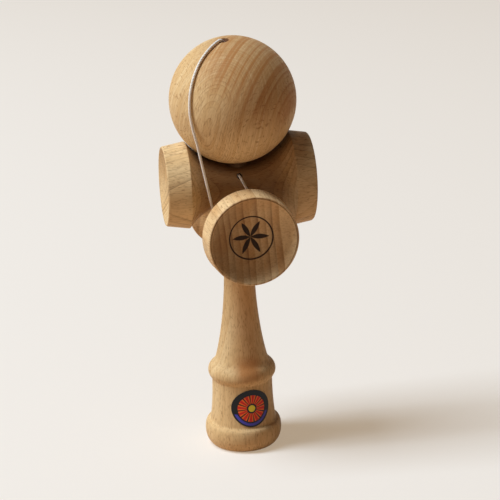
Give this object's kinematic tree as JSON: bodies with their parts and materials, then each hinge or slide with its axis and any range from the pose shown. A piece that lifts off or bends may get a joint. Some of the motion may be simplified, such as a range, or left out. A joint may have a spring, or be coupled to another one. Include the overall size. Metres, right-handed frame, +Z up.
{
  "type": "kendama",
  "caption": "Turned beech kendama: a handle with a spike and a cup under its foot, two stacked cross-pieces with a cup at each end, and a drilled ball on a wound string.",
  "frame": {"origin": "centre of the foot's flat ring, on the surface that the handle stands on", "axes": "+Z up along the handle towards the spike, front cup faces -Y, upper cross-piece lies along X with its big cup towards +X"},
  "size_m": [0.0688, 0.0672, 0.2009],
  "materials": {
    "beech_handle": "fine sanded, bare",
    "beech_lower": "fine sanded, bare",
    "beech_upper": "fine sanded, bare",
    "beech_ball": "fine sanded, bare",
    "bead_wood": "polished",
    "cotton": "twisted cotton",
    "paper": "printed, glossy"
  },
  "bodies": {
    "ken": {"ken": "beech_handle", "lower_sarado": "beech_lower", "upper_sarado": "beech_upper", "sticker": "paper", "string_free": "cotton", "string_winding": "cotton", "string_lead": "cotton", "end_knot": "cotton"},
    "tether": {"stop_bead": "bead_wood", "stop_knot": "cotton", "string_inside": "cotton", "string_over_ball": "cotton"},
    "tama": {"tama": "beech_ball"}
  },
  "joints": [
    {"name": "ball_lift", "type": "slide", "parent": "ken", "child": "tether", "axis": [0, 0, 1], "range_m": [0, 0.06], "deforming": ["string_free"]},
    {"name": "ball_spin", "type": "hinge", "parent": "tether", "child": "tama", "pos_m": [-0.00074, 0, 0.1714], "axis": [-0.1461, -0.153, 0.9774], "continuous": true}
  ]
}
